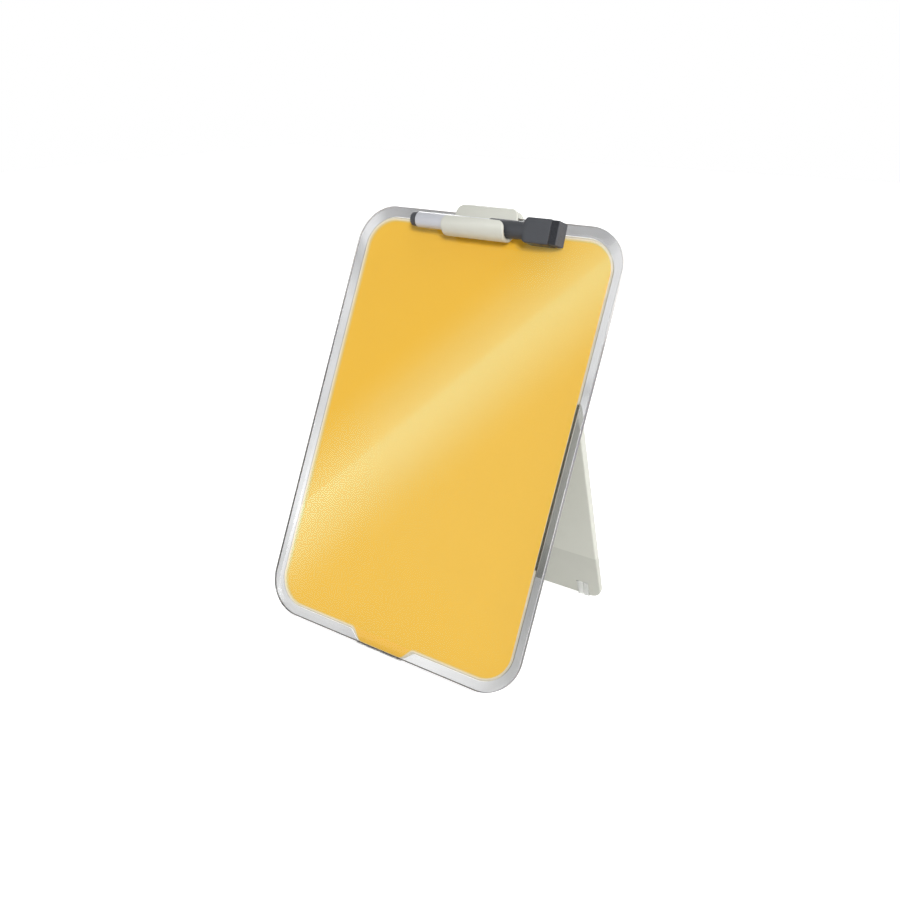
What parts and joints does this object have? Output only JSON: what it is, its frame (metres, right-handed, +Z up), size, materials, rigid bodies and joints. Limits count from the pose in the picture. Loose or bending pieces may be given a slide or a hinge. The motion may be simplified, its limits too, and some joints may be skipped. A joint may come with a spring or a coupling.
{
  "type": "desktop glass whiteboard",
  "caption": "Tilted glass writing board with a coloured back film, fold-out stand leaf, lift-off pen holder and capped marker with felt eraser.",
  "frame": {"origin": "centre of the whole object's box on the surface that it stands on", "axes": "+Z up; +X to the board's right seen from the front; +Y back, away from the user"},
  "size_m": [0.21, 0.1526, 0.2828],
  "materials": {
    "glass": "clear polished float glass with a wide shallow bevel",
    "film": "even warm yellow print behind the glass",
    "carrier": "translucent cream sheet",
    "foam": "dark closed-cell foam",
    "shell": "satin warm white moulding",
    "pad": "clear soft rubber",
    "pin": "smooth white plastic pin",
    "foot": "clear soft rubber",
    "grip": "grey soft rubber",
    "barrel": "light grey satin tube",
    "cap": "slate grey moulding",
    "fibre": "ink-soaked fibre",
    "section": "white moulding",
    "felt": "dense dark felt"
  },
  "bodies": {
    "board": {"glass_plate": "glass", "colour_film": "film", "carrier_sheet": "carrier", "side_foam_left": "foam", "side_foam_right": "foam", "back_cover": "shell", "board_foot_pad": "pad", "hinge_pin_left": "pin", "hinge_pin_right": "pin"},
    "stand": {"stand_leaf": "shell", "stand_foot_left": "foot", "stand_foot_right": "foot"},
    "holder": {"pen_holder": "shell", "holder_grip_pad": "grip"},
    "marker": {"marker_barrel": "barrel", "marker_end_plug": "cap", "marker_section": "section", "marker_nib": "fibre", "marker_reservoir": "fibre"},
    "cap": {"cap_shell": "cap", "cap_inner_seal": "section", "eraser_felt": "felt"}
  },
  "joints": [
    {"name": "stand_fold", "type": "hinge", "parent": "board", "child": "stand", "pos_m": [0, 0.01622, 0.16979], "axis": [1, 0, 0], "range_deg": [-45, 0]},
    {"name": "holder_lift", "type": "slide", "parent": "board", "child": "holder", "axis": [0, 0.4352, 0.9003], "range_m": [0, 0.035]},
    {"name": "marker_lift", "type": "slide", "parent": "holder", "child": "marker", "axis": [0, 0.4352, 0.9003], "range_m": [0, 0.04]},
    {"name": "cap_pull", "type": "slide", "parent": "marker", "child": "cap", "axis": [1, 0, 0], "range_m": [0, 0.04]}
  ]
}
